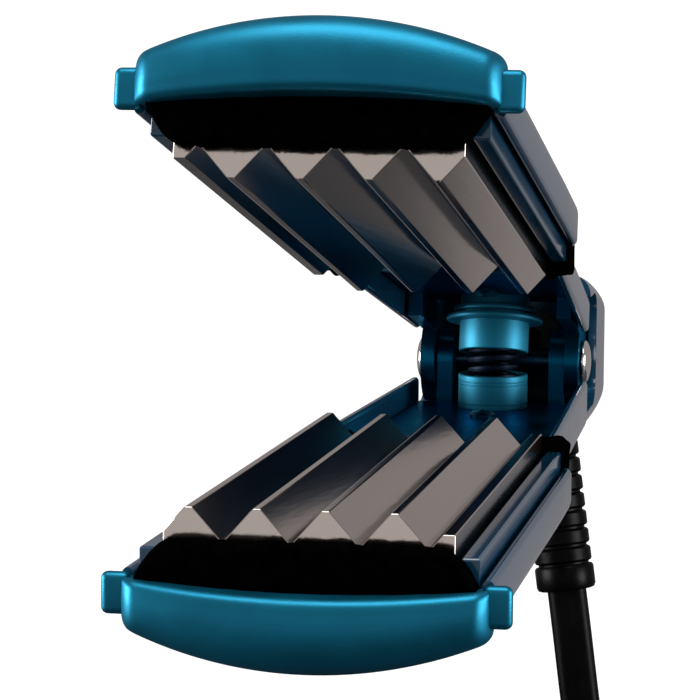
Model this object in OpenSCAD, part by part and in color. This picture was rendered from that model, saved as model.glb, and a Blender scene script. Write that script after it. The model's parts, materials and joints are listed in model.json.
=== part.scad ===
// Hair crimper: two sprung arms with meshing toothed plates, hinged at the tail, on a swivelling mains cord.
// +X is to the right, +Y runs back to the tail and +Z is up. The origin is the middle of the hinge pin.
// Each arm is drawn closed, with its outer side at +Z, and is then turned open about the pin.

/* [Jaws] */
// Angle between the two arms when the jaws are open
jaw_open = 12.9; // [8:0.1:13]
// Distance from the hinge pin to the front end of the plates
plate_front = 205; // [170:1:250]

/* [Plates] */
// Length of a toothed plate
plate_l = 100; // [80:1:105]
// Width of a toothed plate
plate_w = 38.2; // [32:0.2:46]
// Distance from one tooth to the next
tooth_pitch = 9; // [7.5:0.1:11]
// Depth of a tooth
tooth_d = 4.5; // [3:0.1:5.4]
// Width of the blunt top of a tooth
tooth_tip = 1; // [0.6:0.1:1.4]
// Height left between a tooth and its valley when the jaws are shut
mesh_gap = 0.9; // [0.6:0.1:1.6]
// Solid metal behind the valleys
plate_back = 3.3; // [2.4:0.1:3.6]

/* [Head] */
// Room for the tray and the wall beside each edge of a plate
head_side = 5.2; // [4.8:0.1:8]
// Height of the crown of a head above the middle of the closed tool
head_crown = 19; // [18.5:0.1:24]
// Height at which the side of a head housing starts
head_rim = 5; // [4:0.1:6]
// Wall of the housings
wall = 1.6; // [1.4:0.1:2.2]
// Reach of an end cap in front of its housing
cap_l = 7; // [5:0.5:10]
// Reach of the clip ears on the sides of an end cap
ear_reach = 2.7; // [1.5:0.1:4]

/* [Handle] */
// Width of a handle behind the head
handle_front_w = 41; // [39:0.5:45]
// Width of a handle at the hinge
handle_rear_w = 35; // [34:0.5:42]
// Height of the crown of a handle
handle_crown = 15.5; // [15:0.1:18]
// Height at which the side of the upper handle starts
upper_rim = 5; // [3:0.1:5]
// Height at which the side of the lower handle starts
lower_rim = 3; // [1:0.1:5]
// Radius of the crowned backs of the housings
crown_r = 52; // [46:1:80]
// Height of the inner cover of the upper handle
upper_cover_z = 9.3; // [9:0.1:9.8]
// Height of the inner cover of the lower handle
lower_cover_z = 7.4; // [7:0.1:8]

/* [Hinge] */
// Radius of the hinge pin
pin_r = 2.5; // [2:0.1:3]
// Radius of the round cheeks of the yoke
cheek_r = 8.5; // [7.5:0.1:9]
// Thickness of a yoke cheek
cheek_t = 2.7; // [2:0.1:3]
// Reach of the chrome caps of the pin past its side
pin_cap_lip = 1.5; // [1:0.1:2.5]

/* [Spring] */
// Distance from the hinge pin forward to the spring
spring_y = 17; // [16:0.5:19]
// Outer diameter of the tube that guides the spring
guide_d = 13.4; // [11:0.1:16.2]
// Reach of the flange past the tube
flange_out = 2.7; // [1.5:0.1:3]
// Wall of the spring tubes
tube_wall = 0.6; // [0.5:0.1:0.8]
// Diameter of the spring wire
wire_d = 1.4; // [1:0.1:1.6]

/* [Controls] */
// Diameter of the temperature dial
dial_d = 17; // [14:0.5:20]
// Length of the power button
button_l = 15; // [12:0.5:16]
// Width of the power button
button_w = 9; // [7:0.5:10]

/* [Cord] */
// Width of the flat twin cord
cord_w = 8.6; // [7:0.1:9]
// Diameter of the strain relief
relief_d = 13; // [11:0.1:13]
// Ribs on the strain relief
relief_ribs = 9; // [6:1:10]

/* [Hidden] */
$fn = 64;
eps = 0.01;
half_open = jaw_open / 2;
head_w = plate_w + 2 * head_side;
fit_gap = 0.4;       // between a piece and the pocket that it drops into
run_gap = 0.05;      // radial clearance of a turning fit
side_gap = 0.3;      // between faces that slide past each other
tooth_z = -(tooth_d - mesh_gap) / 2;
first_tooth = ceil(0.25 - plate_w / 2 / tooth_pitch);
last_tooth = floor(0.75 + plate_w / 2 / tooth_pitch);
valley_z = tooth_z + tooth_d;
plate_z = valley_z + plate_back;
plate_rear = plate_front - plate_l;
head_front = plate_front + 1;
head_rear = plate_rear - 3;
heater_t = 1.6;
heater_half = 10;
heater_inset = 8;    // from each end of the plate
clamp_t = 0.8;
clamp_half = 12;
clamp_inset = 6;
pad_t = 1.2;
pad = [16, 10];
pad_inset = 20;
tray_w = head_w - 2 * wall - 2 * fit_gap;
tray_play = 0.8;     // between a plate and the side of its tray
tray_in = plate_w + 2 * tray_play;
tray_rim = 3.6;
tray_floor = plate_z + heater_t + clamp_t + pad_t;
tray_t = 1.4;
felt_reach = 2.6;    // of the front insulator past its housing
felt_side = 2.1;     // from the side of the head
felt_low = 2.1;
felt_waist = 6.6;
felt_top = 9;
rear_felt_low = 1.6;
rear_felt_top = 11.5;
sill_low = 2.2;      // where the rear insulator passes under the head
cap_bottom = 7.1;
cap_arch = 1.3;
spigot_z = 12.8;
spigot_l = 3.4;
spigot_t = 1.5;
spigot_side = 8;      // from the side of the head
cap_nose_r = 90;     // bow of the front, seen from above
cap_dome_r = 26;     // bow of the front, seen from the side
ear_l = 3.6;
ear_h = 5.6;
arch_r = (pow(head_w / 2, 2) + pow(cap_arch, 2)) / (2 * cap_arch);
cover_t = 1.5;
bridge_t = 1.2;      // sheet that joins the cheeks of the yoke
bridge_z = 11.6;     // its top, under the crown of the upper handle
yoke_front = 26;
cover_front = head_rear - 5;
cover_rear = 10;
shell_rear = 8;
screw_y = [head_rear - 10, 32.5];
boss_r = 3.2;
screw_r = 1.4;
screw_head_r = 2.4;
screw_head_h = 1.2;
cheek_x = handle_rear_w / 2 - wall - side_gap;   // outer face of a cheek of the yoke
pin_cap_r = pin_r + pin_cap_lip;
flange_d = guide_d + 2 * flange_out;
ear_t = 3;           // of the bracket that holds the pin
bracket_r = 6;
bracket_t = 2;
bracket_front = cover_rear + 14;
pin_cap_t = 1.2;
pin_dome_r = 8;
ear_x = cheek_x - cheek_t - side_gap;
guide_end = 0.6;     // how far the spring guide reaches past the middle of the closed tool
spring_d = guide_d - 2 * tube_wall - 2.4;
cup_floor = 0.8;
guide_top = bridge_z - bridge_t;
flange_z = 5.2;
bead_t = 1.2;
bead_groove = 0.5;
spring_low = -(lower_cover_z - cup_floor) * cos(half_open) - (spring_y - spring_d / 2) * sin(half_open) + 0.1;
spring_high = (guide_top - cup_floor) * cos(half_open)
    + (spring_y - spring_d / 2) * sin(half_open) - 0.1;
bush_wall = 1.4;
c_r = cheek_r + 0.6;
tail_top = 19.5;
tail_start = -3.3;
tail_end = 50;
pivot = [0, 60, 4.5];
barrel_r = 9.2;
neck_r = 5.5;
neck_end = -17.4;    // inner end of the neck, from the pivot
neck_lip = 1.5;
neck_lip_t = 2;
swing_pin_r = 1.5;
relief_eye = 1.3;    // from the side of the relief to the end of its eye
dial_y = -70;
button_y = -45;
lamp_y = -56;
button_flange = 0.9;
button_seat = 12.2;  // lowest part of the button
board_z = lower_cover_z + cover_t;
board_half = 11;
board_t = 1.2;
board_top = board_z + board_t;
// Corner in X and Y, width, length and height of each component
board_parts = [
    [-9.5, -64, 4, 10, 1.8], [5.5, -62, 4, 6, 1.8], [-9.5, -49, 3, 10, 1.8], [-8, -82, 16, 5, 2.4]
];
shaft_r = 1.5;
lamp_r = 1.5;
lamp_low = 12;
floor_z = -140;
cord_t = 4.7;        // thickness of the flat cord
hank_at = [-12, -4];
hank_run = 75;       // straight part of a turn
hank_r = 12;         // of the ends of the innermost turn
turn_pitch = 4.9;
turns = 5;           // side by side in a layer, with the cord on edge
layer_h = 8.8;
layers = 2;
hank_h = layers * layer_h;
hank_in = hank_r - cord_t / 2;
hank_out = hank_r + (turns - 1) * turn_pitch + cord_t / 2;
tie_w = 8;
tie_t = 1;
plug_at = [-40, 78];
plug_turn = -4;
plug_l = 38;
plug_w = 26;
plug_h = 16;
plug_neck_l = 14;
plug_neck_r = 6;
blade = [1.5, 17, 6.4];
blade_x = 5.6;       // inner face of a blade
cord_side = 10;      // sides of the swept cord
relief_gap = 0.3;
relief_l = 55;       // from the pivot of the strain relief to the first point of the cord
relief_lean = 8.3;
relief_collar = 6;
rib_pitch = 3.4;
rib_gap = 1.5;
cord_points = [
    [7.9, 60, -49.6], [9.3, 60, -59], [10.7, 60.2, -69], [12.1, 60.7, -79], [13.3, 61.2, -89],
    [14.4, 60.8, -98], [15.6, 58.4, -106.5], [16.8, 53.6, -114], [18, 46.6, -120.2], [19, 38, -124.6],
    [19.6, 28, -126.6], [19.6, 18, -126.8]
];
lead_points = [
    [-43.6, 33, -135.6], [-43.5, 44, -135.5], [-42.8, 54, -134.6], [-41.9, 64, -133.1], [-40.9, 72, -132.2],
    [-40, 78, -132]
];

// ---- Placing ----

module upper() rotate([-half_open, 0, 0]) children();
module lower() rotate([half_open, 0, 0]) mirror([0, 0, 1]) children();
module lower_turned() rotate([half_open, 0, 0]) rotate([0, 180, 0]) children();
module tail_frame() rotate([half_open, 0, 0]) children();
module hanging() translate(pivot) rotate([0, -relief_lean, 0]) children();

// A section in X and Z, drawn out along Y from y0 to y1
module along_y(y0, y1) translate([0, y1, 0]) rotate([90, 0, 0]) linear_extrude(y1 - y0) children();

// A profile in Y and Z, drawn out along X
module along_x(x0, x1) translate([x0, 0, 0]) rotate([90, 0, 90]) linear_extrude(x1 - x0) children();

module rod_x(x0, x1, r) translate([x0, 0, 0]) rotate([0, 90, 0]) cylinder(r = r, h = x1 - x0);
module rod_y(y0, y1, r) translate([0, y1, 0]) rotate([90, 0, 0]) cylinder(r = r, h = y1 - y0);
module both_sides() { children(); mirror([1, 0, 0]) children(); }
module block(x, y0, y1, z0, z1) translate([-x, y0, z0]) cube([2 * x, y1 - y0, z1 - z0]);

// ---- Housings ----

// A crowned section: flat sides at half width x, open edge at z0, round back at the crown
module crown_section(x, z0, crown) intersection() {
    translate([0, crown - crown_r]) circle(r = crown_r, $fn = 160);
    translate([-x, z0]) square([2 * x, crown - z0]);
}

// Handle seen from above, narrowing to the hinge, made smaller all round by inset
module handle_plan(front, rear, inset) polygon([
    [-handle_front_w / 2 + inset, -front], [handle_front_w / 2 - inset, -front],
    [handle_rear_w / 2 - inset, -rear], [-handle_rear_w / 2 + inset, -rear]
]);

module handle_block(front, rear, inset, z0, crown) intersection() {
    along_y(-front, -rear) crown_section(handle_front_w / 2, z0, crown);
    translate([0, 0, z0 - 1]) linear_extrude(crown + 2) handle_plan(front, rear, inset);
}

module head_block(front, rear, inset, crown) along_y(-front, -rear)
    crown_section(head_w / 2 - inset, head_rim, crown);

// What a piece inside a head housing may fill
module head_room(front, rear) along_y(-front, -rear)
    crown_section(head_w / 2 - wall - fit_gap, 0, head_crown - wall - fit_gap);

module screw_bosses(z) for (y = screw_y)
    translate([0, -y, z]) cylinder(r = boss_r, h = handle_crown - wall - z);

module arm_shell(cover_z, rim) {
    difference() {
        union() {
            head_block(head_front, head_rear, 0, head_crown);
            handle_block(head_rear + eps, shell_rear, 0, rim, handle_crown);
        }
        difference() {
            translate([0, -2, -2]) head_block(head_front, head_rear + wall - 2, wall, head_crown - wall + 2);
            block(head_w, -head_rear - wall, 0, 0, head_crown);
        }
        handle_block(head_rear + wall + 4, shell_rear - 2, wall, -1, handle_crown - wall);
    }
    intersection() {
        screw_bosses(cover_z + cover_t);
        handle_block(head_rear, shell_rear, wall / 2, rim, handle_crown - wall / 2);
    }
}

// The inner cover lies between the side walls of a handle
module inner_cover(cover_z, rear) difference() {
    intersection() {
        translate([0, 0, cover_z]) linear_extrude(cover_t)
            handle_plan(cover_front, rear, wall + fit_gap);
        along_y(-cover_front, -rear) crown_section(handle_front_w / 2, 0, handle_crown - wall - fit_gap);
    }
    for (y = screw_y) translate([0, -y, cover_z - 1]) cylinder(r = screw_r, h = cover_t + 2);
}

module screws(cover_z) for (y = screw_y) translate([0, -y, cover_z]) {
    translate([0, 0, -screw_head_h]) cylinder(r = screw_head_r, h = screw_head_h);
    cylinder(r = screw_r, h = cover_t);
}

module end_cap() {
    intersection() {
        along_y(-head_front - cap_l, -head_front) crown_section(head_w / 2, cap_bottom, head_crown);
        translate([0, cap_nose_r - head_front - cap_l, 0])
            cylinder(r = cap_nose_r, h = head_crown, $fn = 200);
        translate([0, cap_dome_r - head_front - cap_l, cap_bottom])
            rod_x(-head_w, head_w, cap_dome_r, $fn = 160);
        difference() {
            block(head_w, -head_front - cap_l, -head_front, 0, head_crown);
            translate([0, 0, cap_bottom + cap_arch - arch_r])
                rod_y(-head_front - cap_l - 1, -head_front + 1, arch_r, $fn = 360);
        }
    }
    both_sides() translate([head_w / 2 - wall, -head_front - ear_l, cap_bottom - 0.5])
        cube([ear_reach + wall, ear_l, ear_h]);
    // Spigot that holds the cap in its housing
    intersection() {
        block(head_w / 2 - spigot_side, -head_front - 1, spigot_l - head_front,
            spigot_z, spigot_z + spigot_t);
        head_room(head_front + 1, head_rear);
    }
}

// ---- Heads ----

// Teeth run along the plate. The part tooth at one edge is cut flat by the side of the plate
function tooth(x) = [
    [x - tooth_pitch / 2, valley_z], [x - tooth_tip / 2, tooth_z],
    [x + tooth_tip / 2, tooth_z], [x + tooth_pitch / 2, valley_z]
];
module tooth_section() intersection() {
    union() {
        translate([-plate_w / 2, valley_z]) square([plate_w, plate_back]);
        for (i = [first_tooth:last_tooth]) polygon(tooth((i - 0.25) * tooth_pitch));
        intersection() {
            polygon(tooth((first_tooth - 1.25) * tooth_pitch));
            translate([-plate_w / 2, tooth_z + tooth_d * 0.56]) square([plate_w, tooth_d]);
        }
    }
    translate([-plate_w / 2, tooth_z]) square([plate_w, tooth_d + plate_back]);
}

module plate() along_y(-plate_front, -plate_rear) tooth_section();
module heater() block(heater_half, -plate_front + heater_inset, -plate_rear - heater_inset,
    plate_z, plate_z + heater_t);
module heater_clamp() block(clamp_half, -plate_front + clamp_inset, -plate_rear - clamp_inset,
    plate_z + heater_t, plate_z + heater_t + clamp_t);
module float_pads() for (y = [plate_front - pad_inset, plate_rear + pad_inset])
    translate([-pad[0] / 2, -y - pad[1] / 2, plate_z + heater_t + clamp_t]) cube([pad[0], pad[1], pad_t]);

module plate_tray() difference() {
    intersection() {
        block(tray_w / 2, -plate_front, -plate_rear, tray_rim, tray_floor + tray_t);
        head_room(plate_front, plate_rear);
    }
    block(tray_in / 2, -plate_front - 1, -plate_rear + 1, 0, tray_floor);
}

module front_insulator() along_y(-head_front - felt_reach, -plate_front) intersection() {
    translate([0, cap_bottom + cap_arch - arch_r]) circle(r = arch_r - 0.15, $fn = 360);
    polygon([
        [-plate_w / 2, felt_low], [plate_w / 2, felt_low], [head_w / 2 - felt_side, felt_waist],
        [head_w / 2 - felt_side, felt_top], [-head_w / 2 + felt_side, felt_top],
        [-head_w / 2 + felt_side, felt_waist]
    ]);
}

module rear_insulator() {
    intersection() {
        block(head_w / 2 - wall - 2, -plate_rear, -head_rear - wall - 0.2, rear_felt_low, rear_felt_top);
        head_room(plate_rear, head_rear);
    }
    block(handle_front_w / 2 - wall - 2 * fit_gap, -plate_rear, -cover_front - side_gap,
        sill_low, head_rim - side_gap);
}

// ---- Hinge and spring ----

module yoke() {
    both_sides() difference() {
        along_x(cheek_x - cheek_t, cheek_x) {
            circle(r = cheek_r);
            translate([-yoke_front, upper_rim]) square([yoke_front, guide_top + eps - upper_rim]);
        }
        rod_x(0, handle_rear_w, pin_r + run_gap + bush_wall);
    }
    intersection() {
        block(cheek_x, -yoke_front, -cover_rear, guide_top, bridge_z);
        along_y(-yoke_front, -cover_rear) crown_section(cheek_x, 0, handle_crown - wall - 0.2);
    }
}

module bushes() both_sides() difference() {
    rod_x(cheek_x - cheek_t, cheek_x, pin_r + run_gap + bush_wall);
    rod_x(0, handle_rear_w, pin_r + run_gap);
}

module hinge_bracket() {
    both_sides() difference() {
        along_x(ear_x - ear_t, ear_x) {
            circle(r = bracket_r);
            translate([-bracket_r, 0]) square([2 * bracket_r, board_z + bracket_t]);
        }
        rod_x(0, handle_rear_w, pin_r);
    }
    block(ear_x - ear_t + eps, -bracket_front, bracket_r, board_z, board_z + bracket_t);
}

module pin_caps() both_sides() intersection() {
    rod_x(cheek_x + side_gap, cheek_x + side_gap + pin_cap_t, pin_cap_r);
    translate([cheek_x + side_gap + pin_cap_t - pin_dome_r, 0, 0]) sphere(r = pin_dome_r, $fn = 96);
}

module spring_guide() translate([0, -spring_y, 0]) difference() {
    union() {
        translate([0, 0, -guide_end]) cylinder(d = guide_d, h = guide_top + guide_end);
        // Flange with two beads round the tube
        translate([0, 0, flange_z]) {
            cylinder(d = flange_d, h = bead_t);
            cylinder(d = flange_d - 3, h = 2 * bead_t + bead_groove);
            translate([0, 0, bead_t + bead_groove]) cylinder(d = flange_d - 2.6, h = bead_t);
        }
    }
    translate([0, 0, -2]) cylinder(d = guide_d - 2 * tube_wall, h = guide_top - cup_floor + 2);
}

module spring_cup() translate([0, -spring_y, 0]) difference() {
    translate([0, 0, guide_end + side_gap]) cylinder(d = guide_d, h = lower_cover_z - guide_end - side_gap);
    cylinder(d = guide_d - 2 * tube_wall, h = lower_cover_z - cup_floor);
}

module spring_tube() translate([0, -spring_y, spring_low]) difference() {
    cylinder(d = spring_d, h = spring_high - spring_low);
    translate([0, 0, -1]) cylinder(d = spring_d - 2 * wire_d, h = spring_high - spring_low + 2);
}

// ---- Tail ----

function tail_top_z(y) = tail_top - 0.1 * (y - tail_start) - 0.002 * pow(y - tail_start, 2);
function tail_low_z(y) = -handle_crown + 0.0036 * pow(max(0, y - 12), 2);
function tail_half(y) = handle_rear_w / 2 * pow(1 - pow(max(0, y - 26) / 26, 2.4), 1 / 2.4);
tail_ys = [for (i = [0:16]) tail_start + (tail_end - tail_start) * i / 16];

module tail_solid(inset) intersection() {
    along_x(-handle_rear_w, handle_rear_w) polygon(concat(
        [for (y = tail_ys) [min(y, tail_end - inset), tail_top_z(y) - inset]],
        [for (i = [16:-1:0]) [min(tail_ys[i], tail_end - inset), tail_low_z(tail_ys[i]) + inset]],
        [[-shell_rear, -handle_crown + inset], [-shell_rear, -c_r]]
    ));
    translate([0, 0, -handle_rear_w]) linear_extrude(3 * handle_rear_w) polygon(concat(
        [[-tail_half(0) + inset, -shell_rear - 1], [tail_half(0) - inset, -shell_rear - 1]],
        [for (y = tail_ys) [tail_half(y) - inset, max(y, -shell_rear)]],
        [for (i = [16:-1:0]) [-tail_half(tail_ys[i]) + inset, max(tail_ys[i], -shell_rear)]]
    ));
    along_y(-shell_rear - 1, tail_end) intersection() {
        translate([0, tail_top - inset - crown_r]) circle(r = crown_r, $fn = 160);
        translate([0, crown_r - handle_crown + inset]) circle(r = crown_r, $fn = 160);
    }
}

module tail_shell() difference() {
    tail_solid(0);
    difference() {
        tail_solid(wall);
        // End wall that holds the neck of the swivel
        block(handle_rear_w, tail_end - 4, tail_end, -tail_top, tail_top);
    }
    rod_x(-handle_rear_w, handle_rear_w, c_r);
    block(handle_rear_w, -shell_rear - 2, 0, -c_r, c_r);
    block(cheek_x + side_gap, -shell_rear - 2, wall, -handle_crown + wall, tail_top - wall);
    rotate([-half_open, 0, 0]) translate([pivot[0], 0, pivot[2]]) {
        rod_y(tail_end - 12, tail_end + 9, neck_r + run_gap);
        rod_y(tail_end - 0.5, tail_end + 9, barrel_r + fit_gap);
    }
}

// ---- Cord ----

module barrel() hanging() {
    difference() {
        union() {
            rod_y(-9, 0, barrel_r);
            sphere(r = barrel_r);
            rod_y(neck_end, -8, neck_r);
            rod_y(neck_end, neck_end + neck_lip_t, neck_r + neck_lip);
        }
        slot = relief_d / 2 - relief_eye + relief_gap;
        translate([-slot, -relief_d / 2 - 0.5, -20]) cube([2 * slot, 30, 20 + relief_d / 2 + 0.5]);
        rod_x(-barrel_r, barrel_r, swing_pin_r);
        rod_y(-22, -7, 3);
    }
}

module relief() hanging() {
    difference() {
        union() {
            rod_x(-relief_d / 2 + relief_eye, relief_d / 2 - relief_eye, relief_d / 2 - 0.6);
            translate([0, 0, -relief_l]) cylinder(d = relief_d - 3, h = relief_l - 5);
            translate([0, 0, -relief_l]) cylinder(d = relief_d, h = relief_collar);
            for (i = [0:relief_ribs - 1])
                translate([0, 0, -relief_l + relief_collar + rib_gap + i * rib_pitch])
                    cylinder(d = relief_d, h = rib_pitch - rib_gap);
        }
        rod_x(-barrel_r, barrel_r, swing_pin_r + run_gap);
    }
}

// The cord is swept along its points as one closed surface
function unit(v) = v / norm(v);
function heading(p, i) = unit(p[min(i + 1, len(p) - 1)] - p[max(i - 1, 0)]);
function across(t) = unit(cross(t, [1, 0, 0]));
function ring(p, i, r) = let (t = heading(p, i), u = across(t), v = cross(t, u))
    [for (k = [0:cord_side - 1]) p[i] + r * (cos(360 * k / cord_side) * u + sin(360 * k / cord_side) * v)];
module swept(p, r) polyhedron(
    points = [for (i = [0:len(p) - 1]) each ring(p, i, r)],
    faces = concat(
        [[for (k = [0:cord_side - 1]) k]],
        [[for (k = [cord_side - 1:-1:0]) (len(p) - 1) * cord_side + k]],
        [for (i = [0:len(p) - 2], k = [0:cord_side - 1]) [
            i * cord_side + k, (i + 1) * cord_side + k,
            (i + 1) * cord_side + (k + 1) % cord_side, i * cord_side + (k + 1) % cord_side
        ]]
    )
);

// Outline of the hank, with round ends
module hank_outline(r) hull() for (y = [-hank_run / 2, hank_run / 2])
    translate([0, y]) circle(r = r, $fn = 48);

module hank() translate([hank_at[0], hank_at[1], floor_z]) linear_extrude(hank_h) difference() {
    hank_outline(hank_out);
    hank_outline(hank_in);
}

module tie() translate([hank_at[0], hank_at[1], floor_z]) difference() {
    block(hank_out + tie_t, -tie_w / 2, tie_w / 2, 0, hank_h + tie_t);
    block(hank_out, -tie_w, tie_w, -1, hank_h);
}

module plug() translate([plug_at[0], plug_at[1], floor_z]) rotate([0, 0, plug_turn]) {
    block(plug_w / 2, plug_neck_l, plug_l, 0, plug_h);
    translate([0, 0, plug_h / 2]) rod_y(0, plug_neck_l, plug_neck_r);
}

module blades() translate([plug_at[0], plug_at[1], floor_z + plug_h / 2]) rotate([0, 0, plug_turn])
    both_sides() translate([blade_x, plug_l, -blade[2] / 2]) cube(blade);

// ---- Sub-parts ----

deep_blue = [0.02, 0.14, 0.24];
satin_blue = [0.13, 0.47, 0.62];
titanium = [0.52, 0.48, 0.48];
soft_black = [0.02, 0.02, 0.02];

module lower_shell() color(deep_blue) lower() difference() {
    arm_shell(lower_cover_z, lower_rim);
    translate([0, button_y, 0])
        block(button_w / 2 + side_gap, -button_l / 2 - side_gap, button_l / 2 + side_gap, 10, 19);
    translate([0, dial_y, 9]) cylinder(r = shaft_r + 1, h = 9);
    translate([0, lamp_y, 9]) cylinder(r = lamp_r + 0.1, h = 9);
}
module tail_housing() color(deep_blue) tail_frame() tail_shell();
module lower_inner_cover() color(satin_blue) lower() inner_cover(lower_cover_z, cover_rear);
module lower_end_cap() color(satin_blue) lower() end_cap();
module lower_plate_tray() color([0.02, 0.06, 0.1]) lower() plate_tray();
module lower_plate() color(titanium) lower_turned() plate();
module lower_heater() color("ivory") lower() heater();
module lower_heater_clamp() color("silver") lower() heater_clamp();
module lower_float_pads() color("orangered") lower() float_pads();
module lower_front_insulator() color(soft_black) lower() front_insulator();
module lower_rear_insulator() color(soft_black) lower() rear_insulator();
module lower_hinge_bracket() color("dimgray") lower() hinge_bracket();
module lower_spring_cup() color(satin_blue) lower() spring_cup();
module lower_screws() color("silver") lower() screws(lower_cover_z);
module circuit_board() color("darkgreen") lower()
    block(board_half, -head_rear + 18, -screw_y[1] - 5, board_z, board_top);
module board_components() color("dimgray") lower()
    for (c = board_parts) translate([c[0], c[1], board_top]) cube([c[2], c[3], c[4]]);
module thermal_fuse() color("beige") lower()
    translate([-6, -plate_rear - 30, tray_floor + tray_t]) cube([12, 4, 3]);
module status_lamp() color("orange") lower()
    translate([0, lamp_y, lamp_low]) cylinder(r = lamp_r, h = handle_crown + 0.3 - lamp_low);
module dial_shaft_seat() color("dimgray") lower() translate([0, dial_y, board_top]) difference() {
    cylinder(r = 3 * shaft_r, h = 2.6);
    translate([0, 0, 0.8]) cylinder(r = shaft_r + run_gap, h = 3);
}
module hinge_pin() color("silver") rod_x(-cheek_x - side_gap, cheek_x + side_gap, pin_r);
module hinge_caps() color("gainsboro") pin_caps();
module jaw_spring() color("gray") spring_tube();

module upper_shell() color(deep_blue) upper() arm_shell(upper_cover_z, upper_rim);
module upper_inner_cover() color(satin_blue) upper() inner_cover(upper_cover_z, yoke_front + 2 * fit_gap);
module upper_end_cap() color(satin_blue) upper() end_cap();
module upper_plate_tray() color([0.02, 0.06, 0.1]) upper() plate_tray();
module upper_plate() color(titanium) upper() plate();
module upper_heater() color("ivory") upper() heater();
module upper_heater_clamp() color("silver") upper() heater_clamp();
module upper_float_pads() color("orangered") upper() float_pads();
module upper_front_insulator() color(soft_black) upper() front_insulator();
module upper_rear_insulator() color(soft_black) upper() rear_insulator();
module upper_hinge_yoke() color(satin_blue) upper() yoke();
module hinge_bushes() color("white") upper() bushes();
module upper_spring_guide() color(satin_blue) upper() spring_guide();
module upper_screws() color("silver") upper() screws(upper_cover_z);
module temperature_sensor() color("beige") upper()
    translate([-2, -plate_rear - 26, tray_floor + tray_t]) cube([4, 6, 2]);

module power_button() color(soft_black) lower() translate([0, button_y, 0]) {
    block(button_w / 2, -button_l / 2, button_l / 2, button_seat, handle_crown + 1);
    block(button_w / 2 + button_flange, -button_l / 2 - button_flange, button_l / 2 + button_flange,
        button_seat, button_seat + 0.8);
}
module temperature_dial() color(soft_black) lower() translate([0, dial_y, 0]) {
    translate([0, 0, handle_crown + 0.4]) cylinder(d = dial_d, h = 3);
    translate([0, 0, board_top + 1.2]) cylinder(r = shaft_r, h = handle_crown - lower_cover_z - 2);
}
module swivel_barrel() color(soft_black) barrel();
module swivel_pin() color("silver") hanging() rod_x(-barrel_r + 1, barrel_r - 1, swing_pin_r);
module strain_relief() color(soft_black) relief();
module cord_run() color(soft_black) {
    swept(cord_points, cord_w / 2);
    swept(lead_points, cord_w / 2);
}
module cord_hank() color(soft_black) hank();
module cord_tie() color(soft_black) tie();
module plug_body() color(soft_black) plug();
module plug_blades() color("silver") blades();

lower_shell();
tail_housing();
lower_inner_cover();
lower_end_cap();
lower_plate_tray();
lower_plate();
lower_heater();
lower_heater_clamp();
lower_float_pads();
lower_front_insulator();
lower_rear_insulator();
lower_hinge_bracket();
lower_spring_cup();
lower_screws();
circuit_board();
board_components();
thermal_fuse();
status_lamp();
dial_shaft_seat();
hinge_pin();
hinge_caps();
jaw_spring();
upper_shell();
upper_inner_cover();
upper_end_cap();
upper_plate_tray();
upper_plate();
upper_heater();
upper_heater_clamp();
upper_float_pads();
upper_front_insulator();
upper_rear_insulator();
upper_hinge_yoke();
hinge_bushes();
upper_spring_guide();
upper_screws();
temperature_sensor();
power_button();
temperature_dial();
swivel_barrel();
swivel_pin();
strain_relief();
cord_run();
cord_hank();
cord_tie();
plug_body();
plug_blades();
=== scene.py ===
"""Looks of the hair crimper: two sprung arms with toothed plates, on a swivelling mains cord.

Metres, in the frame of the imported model: +X right, +Y back to the tail, +Z up, origin in the hinge pin.
"""

import json
from math import atan2, ceil, cos, pi, radians, sin, sqrt, tau

import bmesh
import bpy
from mathutils import Matrix, Quaternion, Vector, noise


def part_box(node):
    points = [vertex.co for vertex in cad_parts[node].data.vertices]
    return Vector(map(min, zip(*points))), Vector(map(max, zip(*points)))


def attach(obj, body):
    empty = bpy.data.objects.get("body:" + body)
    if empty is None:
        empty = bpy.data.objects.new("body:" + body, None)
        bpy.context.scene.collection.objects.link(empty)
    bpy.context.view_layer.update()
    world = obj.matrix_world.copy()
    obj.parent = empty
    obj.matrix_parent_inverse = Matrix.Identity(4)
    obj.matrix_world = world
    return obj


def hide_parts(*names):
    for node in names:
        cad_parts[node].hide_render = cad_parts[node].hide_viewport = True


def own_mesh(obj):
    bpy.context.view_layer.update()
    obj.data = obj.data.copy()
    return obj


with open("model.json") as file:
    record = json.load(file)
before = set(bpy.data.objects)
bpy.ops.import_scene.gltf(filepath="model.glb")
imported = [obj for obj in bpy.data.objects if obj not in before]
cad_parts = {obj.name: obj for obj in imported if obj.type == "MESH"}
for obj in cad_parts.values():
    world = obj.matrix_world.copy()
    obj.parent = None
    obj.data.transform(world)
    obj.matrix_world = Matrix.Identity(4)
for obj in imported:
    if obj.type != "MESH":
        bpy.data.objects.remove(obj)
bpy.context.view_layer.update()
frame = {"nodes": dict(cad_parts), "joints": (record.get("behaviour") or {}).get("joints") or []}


# ---- Studio ----
# A slate table top under the tool, a soft box overhead, one at each side and a wide one in front.
# The walls are a warm grey, which is what the polished plates reflect.

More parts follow.
